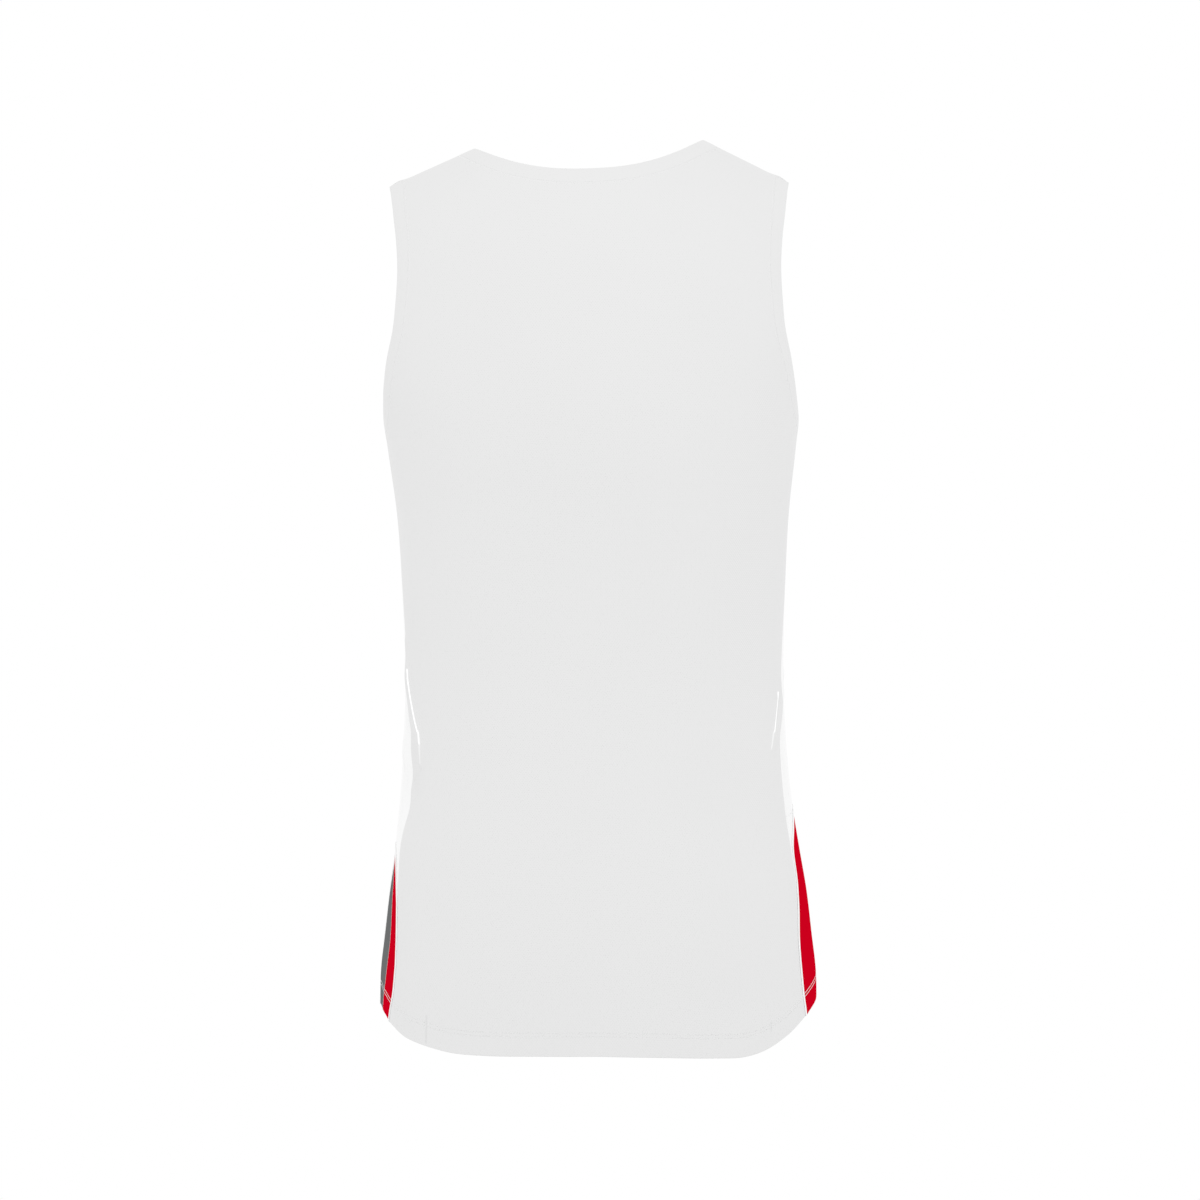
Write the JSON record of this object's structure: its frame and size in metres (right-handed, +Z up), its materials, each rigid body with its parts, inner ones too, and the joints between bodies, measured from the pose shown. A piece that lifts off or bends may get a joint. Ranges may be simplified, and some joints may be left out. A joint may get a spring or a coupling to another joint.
{
  "type": "basketball jersey",
  "caption": "Sleeveless basketball jersey in white mesh knit, filled out as worn, with a dropped back hem and red and grey inserts in the sides of the hem.",
  "frame": {"origin": "midway between the two points where the shoulder line meets the neckline", "axes": "+Z up, -Y out of the front of the jersey, +X towards the wearer's left"},
  "size_m": [0.3773, 0.246, 0.7806],
  "materials": {
    "white_knit": "matt pinhole mesh knit",
    "white_tape": "matt smooth tape",
    "red_knit": "matt knit",
    "grey_knit": "matt knit"
  },
  "bodies": {
    "root": {"back_panel": "white_knit", "front_panel": "white_knit", "side_panel_left": "white_knit", "insert_piping_left": "white_tape", "insert_red_left": "red_knit", "insert_grey_left": "grey_knit", "side_panel_right": "white_knit", "insert_piping_right": "white_tape", "insert_red_right": "red_knit", "insert_grey_right": "grey_knit", "neck_band": "white_knit", "armhole_band_left": "white_knit", "armhole_band_right": "white_knit"}
  },
  "joints": []
}
